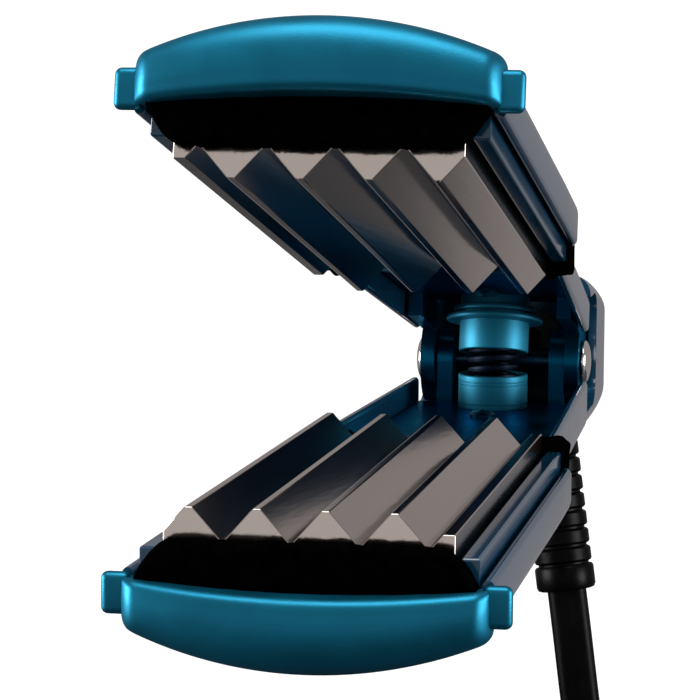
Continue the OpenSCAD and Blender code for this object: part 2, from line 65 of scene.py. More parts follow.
cord_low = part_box("cord_hank")[0]
bpy.ops.mesh.primitive_plane_add(size=1.0, location=(0, 0, cord_low.z))
table_top = bpy.context.object
table_top.name = "table_top"
table_finish = bpy.data.materials.new("table_laminate")
table_finish.use_nodes = True
table_shader = table_finish.node_tree.nodes["Principled BSDF"]
table_shader.inputs["Roughness"].default_value = 0.6
table_grain = table_finish.node_tree.nodes.new("ShaderNodeTexNoise")
table_grain.inputs["Scale"].default_value = 220
table_tone = table_finish.node_tree.nodes.new("ShaderNodeValToRGB")
table_tone.color_ramp.elements[0].color = (0.030, 0.034, 0.040, 1)
table_tone.color_ramp.elements[1].color = (0.045, 0.050, 0.056, 1)
table_finish.node_tree.links.new(table_grain.outputs["Fac"], table_tone.inputs["Fac"])
table_finish.node_tree.links.new(table_tone.outputs["Color"], table_shader.inputs["Base Color"])
table_top.data.materials.append(table_finish)

studio = bpy.data.worlds.new("studio")
bpy.context.scene.world = studio
studio.use_nodes = True
walls = studio.node_tree.nodes["Background"]
walls.inputs["Color"].default_value = (0.49, 0.455, 0.455, 1)
walls.inputs["Strength"].default_value = 0.58
sweep = studio.node_tree.nodes.new("ShaderNodeBackground")
sweep.inputs["Color"].default_value = (1, 1, 1, 1)
sweep.inputs["Strength"].default_value = 1.15
seen = studio.node_tree.nodes.new("ShaderNodeLightPath")
chosen = studio.node_tree.nodes.new("ShaderNodeMixShader")
studio.node_tree.links.new(seen.outputs["Is Camera Ray"], chosen.inputs[0])
studio.node_tree.links.new(walls.outputs[0], chosen.inputs[1])
studio.node_tree.links.new(sweep.outputs[0], chosen.inputs[2])
studio.node_tree.links.new(chosen.outputs[0], studio.node_tree.nodes["World Output"].inputs["Surface"])
bpy.context.scene.view_settings.view_transform = "Standard"


def soft_box(name, place, aim, width, height, watts):
    light = bpy.data.lights.new(name, "AREA")
    light.shape = "RECTANGLE"
    light.size = width
    light.size_y = height
    light.energy = watts
    box = bpy.data.objects.new(name, light)
    bpy.context.scene.collection.objects.link(box)
    box.location = place
    box.rotation_mode = "QUATERNION"
    box.rotation_quaternion = (Vector(aim) - Vector(place)).to_track_quat("-Z", "Y")
    return box


heads = (0, -0.15, 0)
soft_box("top_box", (0.0, -0.45, 0.75), heads, 0.7, 0.35, 6)
soft_box("left_box", (-0.95, -0.30, 0.06), heads, 0.6, 0.5, 13)
soft_box("right_box", (0.95, -0.22, 0.06), heads, 0.5, 0.5, 9)
soft_box("front_box", (0.10, -1.6, -0.05), heads, 1.3, 1.3, 1.6)

camera = bpy.data.objects.new("camera", bpy.data.cameras.new("camera"))
bpy.context.scene.collection.objects.link(camera)
bpy.context.scene.camera = camera
camera.data.sensor_width = 36
camera.data.lens = 144
camera.location = (0.0675, -0.5563, -0.0035)
line_of_sight = Vector((-0.1748, 0.9846, 0.0083))
camera_tilt = radians(1.47)
camera.rotation_mode = "QUATERNION"
camera.rotation_quaternion = line_of_sight.to_track_quat("-Z", "Y") @ Quaternion((0, 0, 1), camera_tilt)


# ---- Arm housings ----
# Each arm has one long moulded housing: a wide head over the plate and a narrower handle behind it.
# It is injection moulded in high-gloss dark blue, with a crowned back and a rounded open edge.

opening = next(j for j in frame["joints"] if j["name"] == "jaw_hinge")["range_deg"][1]
half_open = radians(opening / 2)
millimetres = Matrix.Scale(0.001, 4)
on_upper = Matrix.Rotation(-half_open, 4, "X") @ millimetres
on_lower = Matrix.Rotation(half_open, 4, "X") @ Matrix.Scale(-1, 4, (0, 0, 1)) @ millimetres
on_lower_turned = Matrix.Rotation(half_open, 4, "X") @ Matrix.Rotation(pi, 4, "Y") @ millimetres
on_tail = Matrix.Rotation(half_open, 4, "X") @ millimetres
arms = (("upper", on_upper, "upper_arm"), ("lower", on_lower, "lower_arm"))
handle_rims = {"upper": 5, "lower": 3}

crown_r = 52
wall = 1.6
head_front = 206
head_half, head_rim, head_crown = 24.3, 6.2, 19
handle_crown = 15.5
shoulder_start, shoulder_end = 108, 102
lip_start, lip_l = 97, 5
shell_rear = 8
handle_front_half, handle_rear_half = 20.5, 17.5
shell_corner = 3


def material(name, dark, light, scale, metallic=0.0, rough=(0.3, 0.4), bump=0.0, bump_scale=900,
             stretch=(1, 1, 1), **constants):
    """A finish whose colour and roughness wander with a noise, under a finer noise that gives relief."""
    made = bpy.data.materials.new(name)
    made.use_nodes = True
    nodes, links = made.node_tree.nodes, made.node_tree.links
    shader = nodes["Principled BSDF"]
    shader.inputs["Metallic"].default_value = metallic
    for socket, value in constants.items():
        shader.inputs[socket.replace("_", " ")].default_value = value
    place = nodes.new("ShaderNodeTexCoord")
    stretched = nodes.new("ShaderNodeMapping")
    stretched.inputs["Scale"].default_value = stretch
    links.new(place.outputs["Object"], stretched.inputs["Vector"])
    cloud = nodes.new("ShaderNodeTexNoise")
    cloud.inputs["Scale"].default_value = scale
    cloud.inputs["Detail"].default_value = 4
    links.new(stretched.outputs["Vector"], cloud.inputs["Vector"])
    tone = nodes.new("ShaderNodeValToRGB")
    tone.color_ramp.elements[0].position = 0.3
    tone.color_ramp.elements[0].color = (*dark, 1)
    tone.color_ramp.elements[1].position = 0.7
    tone.color_ramp.elements[1].color = (*light, 1)
    links.new(cloud.outputs["Fac"], tone.inputs["Fac"])
    links.new(tone.outputs["Color"], shader.inputs["Base Color"])
    gloss = nodes.new("ShaderNodeMapRange")
    gloss.inputs["From Min"].default_value = 0.3
    gloss.inputs["From Max"].default_value = 0.7
    gloss.inputs["To Min"].default_value = rough[0]
    gloss.inputs["To Max"].default_value = rough[1]
    links.new(cloud.outputs["Fac"], gloss.inputs["Value"])
    links.new(gloss.outputs["Result"], shader.inputs["Roughness"])
    if bump:
        grain = nodes.new("ShaderNodeTexNoise")
        grain.inputs["Scale"].default_value = bump_scale
        grain.inputs["Detail"].default_value = 3
        links.new(stretched.outputs["Vector"], grain.inputs["Vector"])
        relief = nodes.new("ShaderNodeBump")
        relief.inputs["Strength"].default_value = bump
        relief.inputs["Distance"].default_value = 0.0002
        links.new(grain.outputs["Fac"], relief.inputs["Height"])
        links.new(relief.outputs["Normal"], shader.inputs["Normal"])
    return made


gloss_blue = material("gloss_blue", (0.003, 0.034, 0.072), (0.005, 0.046, 0.096), 60, rough=(0.10, 0.16),
                      bump=0.04, bump_scale=500, Coat_Weight=0.25, Coat_Roughness=0.05,
                      Specular_IOR_Level=0.45)


def loft(rings, ends=True):
    """Points and faces of a skin over rings that all have the same number of points."""
    n = len(rings[0])
    faces = [
        (i * n + k, i * n + (k + 1) % n, (i + 1) * n + (k + 1) % n, (i + 1) * n + k)
        for i in range(len(rings) - 1)
        for k in range(n)
    ]
    if ends:
        faces += [tuple(range(n)), tuple(range((len(rings) - 1) * n, len(rings) * n))]
    return [p for ring in rings for p in ring], faces


def piece(name, shape, finish, seat, body, stands_for=(), sharp=35):
    """One piece from points and faces in millimetres, put in its place by seat."""
    mesh = bpy.data.meshes.new(name)
    mesh.from_pydata(shape[0], [], shape[1])
    mesh.transform(seat)
    skin = bmesh.new()
    skin.from_mesh(mesh)
    bmesh.ops.remove_doubles(skin, verts=skin.verts, dist=1e-6)
    bmesh.ops.recalc_face_normals(skin, faces=skin.faces)
    skin.to_mesh(mesh)
    skin.free()
    mesh.shade_smooth()
    mesh.set_sharp_from_angle(angle=radians(sharp))
    mesh.materials.append(finish)
    made = bpy.data.objects.new(name, mesh)
    bpy.context.scene.collection.objects.link(made)
    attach(made, body)
    if stands_for:
        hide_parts(*stands_for)
    return made


def soften(made, width, segments=3, angle=30):
    """A small round on the edges, as moulded and machined pieces have."""
    bevel = made.modifiers.new("edge_round", "BEVEL")
    bevel.width = width * 0.001
    bevel.segments = segments
    bevel.limit_method = "ANGLE"
    bevel.angle_limit = radians(angle)
    bevel.use_clamp_overlap = True
    shading = made.modifiers.new("even_shading", "WEIGHTED_NORMAL")
    shading.keep_sharp = True
    return made


def cut(made, *cutters):
    """Takes the cutters' solids out of a piece and throws the cutters away."""
    for cutter in cutters:
        tool = made.modifiers.new("cut", "BOOLEAN")
        tool.object = cutter
        tool.solver = "EXACT"
        bpy.context.view_layer.update()
        done = bpy.data.meshes.new_from_object(made.evaluated_get(bpy.context.evaluated_depsgraph_get()))
        made.modifiers.clear()
        made.data = done
        bpy.data.objects.remove(cutter)
    made.data.shade_smooth()
    made.data.set_sharp_from_angle(angle=radians(35))
    return made


def arc(cx, cz, r, start, end, steps):
    """Points of an arc in X and Z, from one angle to another."""
    return [(cx + r * cos(start + (end - start) * k / steps), cz + r * sin(start + (end - start) * k / steps))
            for k in range(steps + 1)]


def crowned(half, crown, corner, radius):
    """Half of a crowned outline, from the foot of the right corner over to the middle."""
    centre = crown - radius
    foot = centre + sqrt((radius - corner) ** 2 - (half - corner) ** 2)
    turn = atan2(foot - centre, half - corner)
    return arc(half - corner, foot, corner, 0, turn, 8) + arc(0, centre, radius, turn, pi / 2, 12)[1:]


def mirrored(points):
    return [(-x, z) for x, z in reversed(points)]


def housing_ring(y, half, rim, crown, corner):
    outer = crowned(half, crown, corner, crown_r)
    inner = crowned(half - wall, crown - wall, max(corner - wall, 0.6), crown_r - wall)
    side = [(half, rim + wall / 2)]
    edge = arc(half - wall / 2, rim + wall / 2, wall / 2, -pi, 0, 6)[:-1]
    ring = side + outer + mirrored(outer)[1:] + mirrored(side)
    ring += mirrored(edge)[:-1] + [(-half + wall, rim + wall / 2)] + [(-x, z) for x, z in inner]
    ring += inner[::-1][1:] + edge
    return [(x, y, z) for x, z in ring]


def ease(t):
    t = min(max(t, 0), 1)
    return t * t * (3 - 2 * t)


def housing_at(y, handle_rim):
    """Half width, rim and crown of a housing at a distance in front of the hinge."""
    if y > shoulder_end:
        past = max(0, (shoulder_start - y) / (shoulder_start - shoulder_end))
        half = handle_front_half + (head_half - handle_front_half) * sqrt(max(0, 1 - past * past))
    else:
        share = (y - shell_rear) / (shoulder_end - shell_rear)
        half = handle_rear_half + (handle_front_half - handle_rear_half) * share
    crown = handle_crown + (head_crown - handle_crown) * ease((y - 97) / 13)
    lip = min(max((lip_start - y) / lip_l, 0), 1)
    rim = handle_rim + (head_rim + 0.5 - handle_rim) * (1 - sqrt(1 - (1 - lip) ** 2))
    return half, head_rim if y > lip_start + 3 else rim, crown


stations = [head_front, 180, 150, 125] + [shoulder_start - 0.6 * k for k in range(11)]
stations += [101.5, 100.5, 99.5, 98, 97] + [lip_start - 0.5 * k for k in range(1, 11)]
stations += [85, 70, 50, 30, 16, shell_rear]
for arm, seat, body in arms:
    rings = [housing_ring(-y, *housing_at(y, handle_rims[arm]), shell_corner) for y in stations]
    piece(f"{arm}_housing", loft(rings), gloss_blue, seat, body, [f"{arm}_shell"])


# ---- End caps ----
# A domed cap closes the front of each head, with a clip ear at each side. It is moulded, then sprayed with
# a satin metallic teal, and snaps over the housing by its ears and a spigot inside.

satin_teal = material("satin_teal", (0.0003, 0.140, 0.238), (0.0005, 0.160, 0.266), 140, metallic=0.9,
                      rough=(0.40, 0.48), bump=0.10, bump_scale=2600, Coat_Weight=0.2, Coat_Roughness=0.4,
                      Specular_Tint=(0.6, 0.85, 0.95, 1))
cap_l = 7
cap_foot = 7.1
cap_arch = 1.3
cap_plan_r = 90
cap_corner = 2.4
cap_crown_r = 60
cap_lip_r = 1.5
dome_start = 0.34
dome_power = 0.72
ear_low, ear_high, ear_in, ear_out, ear_l = 6.6, 12.2, 22.9, 26.8, 2.0
ear_edge = 0.95


def crown_at(x, half, crown, corner, radius):
    """Height of a crowned outline at x."""
    centre = crown - radius
    foot = centre + sqrt((radius - corner) ** 2 - (half - corner) ** 2)
    touch = (half - corner) * radius / (radius - corner)
    if abs(x) <= touch:
        return centre + sqrt(radius * radius - x * x)
    return foot + sqrt(max(0, corner * corner - (abs(x) - half + corner) ** 2))


def cap_section(x):
    """The cap's closed section in Y and Z at x: over the dome, round the lip and back along the inside."""
    over = max(0, abs(x) - head_half + cap_corner) / cap_corner
    depth = (cap_l - cap_plan_r + sqrt(cap_plan_r ** 2 - x * x)) * sqrt(max(0, 1 - over * over)) + 0.04
    foot = cap_foot + cap_arch * (1 - (x / head_half) ** 2)
    top = crown_at(x, head_half, head_crown, cap_corner, cap_crown_r)
    middle = foot + dome_start * (top - foot)
    lip = min(cap_lip_r, 0.45 * depth)
    dome = [(-head_front - depth * cos(a) ** dome_power, middle + (top - middle) * sin(a) ** dome_power)
            for a in [pi / 2 * (1 - k / 16) for k in range(17)]]
    low = [(-head_front - depth + 0.03 * depth * k, middle - (middle - foot - lip) * k / 2) for k in (1, 2)]
    front = -head_front - depth * 0.94
    under = [(front + lip - lip * cos(a), foot + lip - lip * sin(a))
             for a in [pi / 2 * k / 5 for k in range(1, 6)]]
    return [(x, y, z) for y, z in dome + low + under + [(-head_front, foot)]]


def block(x0, x1, y0, y1, z0, z1, edge=0.4, steps=3):
    """A box with rounded edges, as points and faces."""
    skin = bmesh.new()
    bmesh.ops.create_cube(skin, size=1)
    for v in skin.verts:
        v.co = Vector((x0 if v.co.x < 0 else x1, y0 if v.co.y < 0 else y1, z0 if v.co.z < 0 else z1))
    bmesh.ops.bevel(skin, geom=skin.edges[:], offset=edge, segments=steps, profile=0.5, affect="EDGES")
    skin.verts.index_update()
    made = [tuple(v.co) for v in skin.verts], [tuple(v.index for v in f.verts) for f in skin.faces]
    skin.free()
    return made


def joined(*shapes):
    points, faces = [], []
    for p, f in shapes:
        faces += [tuple(i + len(points) for i in face) for face in f]
        points += p
    return points, faces


across = [head_half * sin(pi / 2 * (k / 36 - 1)) for k in range(73)]
for arm, seat, body in arms:
    dome = loft([cap_section(x) for x in across])
    ears = [block(min(s * ear_in, s * ear_out), max(s * ear_in, s * ear_out),
                  -head_front - ear_l, -head_front, ear_low, ear_high, ear_edge, 5) for s in (-1, 1)]
    piece(f"{arm}_cap", joined(dome, *ears), satin_teal, seat, body,
          [f"{arm}_end_cap"], sharp=50)


# ---- Toothed plates ----
# Each plate is one aluminium extrusion with a polished titanium coating. Its teeth run along it, and the
# two plates are the same part turned over, so that the teeth of one meet the valleys of the other.

polished_titanium = material("polished_titanium", (0.60, 0.53, 0.48), (0.68, 0.61, 0.56), 30, metallic=1.0,
                             rough=(0.10, 0.17), bump=0.05, bump_scale=1500, stretch=(1, 0.02, 1))
plate_front, plate_rear, plate_half = 205, 105, 19.1
tooth_pitch, tooth_d, tooth_tip = 9, 4.5, 1
tooth_z = -1.8
valley_z = tooth_z + tooth_d
plate_z = 6.0
low_tooth_z = tooth_z + tooth_d * 0.56
flank = (tooth_pitch - tooth_tip) / 2 / tooth_d
first_valley = -1.75 * tooth_pitch
section = [(-plate_half, plate_z), (-plate_half, low_tooth_z),
           (first_valley - (valley_z - low_tooth_z) * flank, low_tooth_z), (first_valley, valley_z)]
for k in range(4):
    crest = first_valley + (k + 0.5) * tooth_pitch
    section += [(crest - tooth_tip / 2, tooth_z), (crest + tooth_tip / 2, tooth_z)]
    if k < 3:
        section.append((crest + tooth_pitch / 2, valley_z))
section += [(plate_half, tooth_z + (plate_half - crest - tooth_tip / 2) / flank), (plate_half, plate_z)]
for arm, seat, body in (("upper", on_upper, "upper_arm"), ("lower", on_lower_turned, "lower_arm")):
    rings = [[(x, -y, z) for x, z in section] for y in (plate_front, plate_rear)]
    plate = piece(f"{arm}_toothed_plate", loft(rings), polished_titanium, seat, body,
                  [f"{arm}_plate"])
    soften(plate, 0.12, 2, 15)


# ---- Plate trays and what they hold ----
# The plate lies in a gloss blue tray on springy pads. Under it a ceramic strip heater is clamped to
# its back, with a thermal fuse on one arm and a temperature sensor on the other.

fired_ceramic = material("fired_ceramic", (0.62, 0.58, 0.50), (0.72, 0.69, 0.62), 200, rough=(0.6, 0.8),
                         bump=0.2)
sheet_steel = material("sheet_steel", (0.36, 0.36, 0.37), (0.46, 0.46, 0.47), 80, metallic=1.0,
                       rough=(0.22, 0.36), bump=0.08, bump_scale=1400, stretch=(1, 0.05, 1))
red_silicone = material("red_silicone", (0.42, 0.07, 0.03), (0.50, 0.10, 0.05), 120, rough=(0.5, 0.65),
                        bump=0.15)


def crisp(node, finish, edge=0.3, segments=2):
    """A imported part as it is, with its own finish and its sharp edges broken."""
    made = frame["nodes"][node]
    made.material_slots[0].material = finish
    weld = made.modifiers.new("weld", "WELD")
    weld.merge_threshold = 2e-6
    soften(made, edge, segments)
    return made


for arm, seat, body in arms:
    crisp(f"{arm}_plate_tray", gloss_blue, 0.35, 3)
    crisp(f"{arm}_heater", fired_ceramic, 0.15)
    crisp(f"{arm}_heater_clamp", sheet_steel, 0.1)
    crisp(f"{arm}_float_pads", red_silicone, 0.25)
crisp("thermal_fuse", fired_ceramic, 0.3)
crisp("temperature_sensor", fired_ceramic, 0.3)


# ---- Insulators ----
# Black needled felt fills the gap between each plate and its cap, and a softer pad of it closes the back.
# It is cut by hand and pushed in, so its edges are ragged and a few fibres stand out.

black_felt = material("black_felt", (0.0002, 0.0002, 0.0002), (0.0012, 0.0011, 0.0010), 700, rough=(0.9, 1.0),
                      bump=0.7, bump_scale=2600, Specular_IOR_Level=0.0)
felt_half, felt_low, felt_top = 22.2, 2.1, 8.6
felt_front, felt_back = 208.5, 205.05
felt_flat_half, felt_curl_l, felt_curl = 15.8, 6.4, 4.9
fibre_count = 150
wad_half, wad_front, wad_back = 3.3, 105.5, 96.8
wad_places = (-15.8, 19.6)


def felt(half, y0, y1, foot, top, lump, size, steps, seed):
    """A soft pad between two heights, which may change along X, with lumps on it."""
    rings = []
    for k in range(steps + 1):
        x = half * (2 * k / steps - 1)
        low, high = foot(x), top(x)
        edge = min(1.1, (high - low) / 2.2)
        ring = []
        for cy, cz, start in ((y0 + edge, low + edge, pi), (y1 - edge, low + edge, 1.5 * pi),
                              (y1 - edge, high - edge, 0), (y0 + edge, high - edge, 0.5 * pi)):
            ring += [(cy + edge * cos(start + a * pi / 8), cz + edge * sin(start + a * pi / 8))
                     for a in range(5)]
        dense = []
        for i, (y, z) in enumerate(ring):
            ny, nz = ring[(i + 1) % len(ring)]
            dense += [(y, z), ((2 * y + ny) / 3, (2 * z + nz) / 3), ((y + 2 * ny) / 3, (z + 2 * nz) / 3)]
        pull = []
        for y, z in dense:
            off = noise.noise_vector(Vector((x, y, z)) / size + Vector((seed, 0, 0)))
            fine = noise.noise_vector(Vector((x, y, z)) * 2.3 + Vector((0, seed, 0)))
            pull.append((x + lump * 0.5 * off.x, y + lump * off.y + 0.1 * fine.y,
                         z + lump * off.z + 0.14 * fine.z))
        rings.append(pull)
    return loft(rings)


def tuft(x, y, z, lean, reach):
    """A few fibres that stand out of the felt."""
    w = 0.07
    foot = [(x - w, y, z), (x + w, y, z), (x, y + w, z)]
    return foot + [(x + lean, y - 0.3 * reach, z - reach)], [(0, 1, 2), (0, 1, 3), (1, 2, 3), (2, 0, 3)]


def moved(shape, matrix):
    return [tuple(matrix @ Vector(p)) for p in shape[0]], shape[1]


def shifted(shape, x=0, y=0, z=0):
    return moved(shape, Matrix.Translation((x, y, z)))


def felt_foot(x):
    return felt_low + felt_curl * max(0, (abs(x) - felt_flat_half) / felt_curl_l) ** 3


for i, (arm, seat, body) in enumerate(arms):
    pad = felt(felt_half, -felt_front, -felt_back, felt_foot, lambda x: felt_top - 0.9 * (x / felt_half) ** 2,
               0.3, 2.4, 110, 3 + 7 * i)
    fibres = []
    for k in range(fibre_count):
        x = felt_half * 0.97 * (2 * (k * 0.618034 % 1) - 1)
        wild = noise.noise_vector(Vector((x * 3, k, i)))
        fibres.append(tuft(x, -felt_front + 0.6 + 2 * abs(wild.x), felt_foot(x) + 0.25, wild.y * 0.8,
                           0.25 + 0.5 * abs(wild.z)))
    piece(f"{arm}_front_felt", joined(pad, *fibres), black_felt, seat, body,
          [f"{arm}_front_insulator"])
    wads = []
    for place_x in wad_places:
        wad = felt(wad_half, -wad_front, -wad_back, lambda x: 2.0 + 0.09 * x * x,
                   lambda x: 9.6 - 0.12 * x * x, 0.9, 2.6, 22, 20 + 5 * i)
        wads.append(shifted(wad, place_x))
    piece(f"{arm}_rear_felt", joined(*wads), black_felt, seat, body, [f"{arm}_rear_insulator"])


# ---- Inner covers ----
# A flat cover closes the inside of each handle over the wiring, with a sill of the same deep metallic blue
# that closes the way into the head; that blue is partly the parts' own colour and partly painted light, made
# lighter for the dim inside of the handle. The cover is held by two cross-head screws.

# Painted light: this blue is raised above the parts' own colour to light the dim insides; the yoke and
# bracket share it.
metallic_blue_painted_light = material("metallic_blue_painted_light", (0.0003, 0.085, 0.170), (0.0006, 0.110, 0.210), 110, metallic=0.97,
                         rough=(0.26, 0.36), bump=0.06, bump_scale=2000, Specular_Tint=(0.02, 0.45, 0.70, 1))
cover_heights = {"upper": 9.3, "lower": 7.4}
sill_half, sill_front, sill_back, sill_low, sill_high = 16.2, 104.9, 97.1, 2.6, 9.0
for arm, seat, body in arms:
    crisp(f"{arm}_inner_cover", metallic_blue_painted_light, 0.35, 3)
    sill = block(-sill_half, sill_half, -sill_front, -sill_back, sill_low, sill_high, 0.8, 3)
    piece(f"{arm}_sill", sill, metallic_blue_painted_light, seat, body, [f"{arm}_rear_insulator"])


def turned(profile, steps=96, closed=False):
    """A turned piece: (radius, height) points carried round Z. A closed profile makes a hollow ring."""
    rings = [[(r * cos(tau * k / steps), r * sin(tau * k / steps), h) for k in range(steps)]
             for r, h in profile]
    if closed:
        rings.append(rings[0])
    return loft(rings, not closed)


blued_screw = material("blued_screw", (0.004, 0.050, 0.090), (0.008, 0.070, 0.120), 300, metallic=1.0,
                       rough=(0.25, 0.4), bump=0.1)
screw_head = [(0.01, -1.25), (1.2, -1.2), (2.0, -0.95), (2.4, -0.4), (2.4, 0), (1.4, 0), (1.4, 1.5),
              (0.01, 1.5)]
screw_places = (92, 32.5)
slot_long, slot_wide, slot_foot, slot_top = 1.3, 0.28, 1.5, 0.55
for arm, seat, body in arms:
    cover_z = cover_heights[arm]
    heads_in_place = [shifted(turned(screw_head, 40), 0, -y, cover_z) for y in screw_places]
    screws = piece(f"{arm}_cover_screws", joined(*heads_in_place), blued_screw, seat, body,
                   [f"{arm}_screws"])
    for y in screw_places:
        for x, w in ((slot_wide, slot_long), (slot_long, slot_wide)):
            bar = block(-x, x, -y - w, -y + w, cover_z - slot_foot, cover_z - slot_top, 0.05, 1)
            cut(screws, piece("cross_slot", bar, blued_screw, seat, body))


# ---- Tail housing ----
# The tail closes the lower arm behind the hinge and holds the swivel of the cord. It is moulded in the same
# gloss blue, with an opening at each side that shows the ends of the hinge.

tail_front, tail_top_front, tail_end, tail_half = -8, -3.3, 50, 17.5
tail_top, tail_foot = 19.5, -15.5
tail_round_y, tail_round_l, tail_round_power, tail_corner = 26, 26, 2.4, 4.2
swivel_at = Vector((0, 60, 4.5))
swivel_neck_r, swivel_barrel_r = 5.5, 9.2


def tail_ring(y, inset=0.0):
    back = max(0, y - tail_round_y) / tail_round_l
    half = tail_half * (1 - back ** tail_round_power) ** (1 / tail_round_power) - inset
    top = tail_top - 0.1 * (y - tail_top_front) - 0.002 * (y - tail_top_front) ** 2 - inset
    foot = tail_foot + 0.0036 * max(0, y - 12) ** 2 + inset
    corner = min(tail_corner, 0.45 * half)
    over = crowned(half, top, corner, crown_r)
    under = [(x, -z) for x, z in crowned(half, -foot, corner, crown_r)]
    ring = over + mirrored(over)[1:] + [(-x, z) for x, z in under] + mirrored([(-x, z) for x, z in under])[1:]
    return [(x, y, z) for x, z in ring]


def lower_cutter(name, shape, seat):
    """A solid for cut() to take out of the lower arm's gloss blue housings."""
    return piece(name, shape, gloss_blue, seat, "lower_arm")


def prism_x(outline, half):
    """An outline in Y and Z carried across the whole width."""
    return loft([[(x, y, z) for y, z in outline] for x in (-half, half)])


def drum_y(x, z, r, y0, y1, steps=72):
    return loft([[(x + r * cos(tau * k / steps), y, z + r * sin(tau * k / steps)) for k in range(steps)]
                 for y in (y0, y1)])


end_round = 1.6
tail_ys = [tail_front, -4, 0, 6, 12, 18, 23] + [tail_round_y + 2 * k for k in range(12)]
skins = [tail_ring(y) for y in tail_ys]
for a in (0.25, 0.5, 0.75, 1.0):
    skins.append([(x, tail_end - end_round + end_round * sin(a * pi / 2), z)
                  for x, _, z in tail_ring(48.4, end_round * (1 - cos(a * pi / 2)))])
tail = piece("tail_shell", loft(skins), gloss_blue, on_tail, "lower_arm", ["tail_housing"])
hollow = lower_cutter("hollow", loft([tail_ring(y, wall) for y in [-12, -4] + tail_ys[2:17]]), on_tail)
window = [(-14, 30), (tail_top_front, 30), (tail_top_front, 13.2)]
window += arc(6.6, 9.0, 4.2, pi / 2, 0, 8) + arc(4.6, -3.4, 5.7, 0, -pi / 2, 8) + [(-14, -9.1)]
opening_cut = lower_cutter("window", prism_x(window, 30), on_tail)
neck = lower_cutter("neck", drum_y(0, swivel_at.z, swivel_neck_r + 0.05, 30, 70), millimetres)
seat_cut = lower_cutter("barrel_seat", drum_y(0, swivel_at.z, swivel_barrel_r + 0.4, 50.2, 70), millimetres)
cut(tail, hollow, opening_cut, neck, seat_cut)
soften(tail, 0.45, 3, 40)


# ---- Hinge ----
# A blue steel yoke in the upper arm carries two acetal bushes. They turn on a steel pin that is pressed into
# a bracket in the lower arm and covered by a domed chrome cap at each end.

black_acetal = material("black_acetal", (0.003, 0.003, 0.004), (0.006, 0.006, 0.007), 150,
                        rough=(0.3, 0.45), bump=0.1, Specular_IOR_Level=0.2)
dark_steel = material("dark_steel", (0.010, 0.030, 0.050), (0.02, 0.045, 0.07), 120, metallic=1.0,
                      rough=(0.2, 0.32), bump=0.06)
chrome = material("chrome_plate", (0.78, 0.77, 0.76), (0.84, 0.83, 0.82), 60, metallic=1.0,
                  rough=(0.05, 0.09), bump=0.02, bump_scale=700)
crisp("upper_hinge_yoke", metallic_blue_painted_light, 0.5, 3)
crisp("hinge_bushes", black_acetal, 0.2)
crisp("lower_hinge_bracket", metallic_blue_painted_light, 0.4, 3)
crisp("hinge_pin", dark_steel, 0.2)
pin_cap_r, pin_cap_t = 4.3, 1.55
cap_seat_x = 15.9
cap_profile = [(0.01, 0), (pin_cap_r, 0), (pin_cap_r, 0.25)]
cap_profile += [(pin_cap_r * cos(a), 0.25 + (pin_cap_t - 0.27) * sin(a))
                for a in [pi / 2 * k / 10 for k in range(1, 10)]]
cap_profile.append((0.01, pin_cap_t))
dome = turned(cap_profile, 64)
caps = [moved(dome, Matrix.Rotation(s * pi / 2, 4, "Y") @ Matrix.Translation((0, 0, cap_seat_x)))
        for s in (-1, 1)]
piece("pin_caps", joined(*caps), chrome, millimetres, "lower_arm", ["hinge_caps"])


# ---- Spring column ----
# The spring that opens the jaws stands in a flanged tube on the upper arm and a cup on the lower one. Both
# are drawn steel in teal, a little lighter than the caps' teal as painted light on the column. The spring is
# wound from blued wire, with its end coils closed, and its near-black is partly painted shade in the gap.

# Painted light: this teal is a little lighter than the caps' satin teal, standing in for the side light on
# the column.
column_teal_painted_light = material("column_teal_painted_light", (0.002, 0.15, 0.25), (0.003, 0.18, 0.29), 140, metallic=0.6,
                      rough=(0.42, 0.50), bump=0.08, bump_scale=2600)
column_y = 17
tube_r, tube_in = 6.7, 6.1


def bead(r, z0, z1):
    return [(r - 0.7, z0), (r - 0.22, z0 + 0.08), (r - 0.04, z0 + 0.35), (r - 0.04, z1 - 0.35),
            (r - 0.22, z1 - 0.08), (r - 0.7, z1)]


guide = [(tube_in, -0.4), (tube_in + 0.15, -0.58), (tube_r - 0.15, -0.58), (tube_r, -0.4), (tube_r, 5.1)]
guide += bead(9.4, 5.2, 6.4) + [(7.6, 6.5), (7.6, 6.8)] + bead(8.1, 6.9, 8.1)
guide += [(tube_r, 8.2), (tube_r, 10.35)]
guide += [(1.0, 10.35), (1.0, 9.6), (tube_in, 9.6)]
cup = [(tube_in, 1.1), (tube_in + 0.15, 0.93), (tube_r - 0.15, 0.93), (tube_r, 1.1)]
for z in (2.0, 2.6, 6.3):
    cup += [(tube_r, z), (tube_r - 0.14, z + 0.08), (tube_r - 0.14, z + 0.2), (tube_r, z + 0.28)]
cup += [(tube_r, 7.35), (1.0, 7.35), (1.0, 6.6), (tube_in, 6.6)]
piece("spring_tube", shifted(turned(guide, 128, True), 0, -column_y), column_teal_painted_light, on_upper, "upper_arm",
      ["upper_spring_guide"])
piece("spring_seat", shifted(turned(cup, 128, True), 0, -column_y), column_teal_painted_light, on_lower, "lower_arm",
      ["lower_spring_cup"])

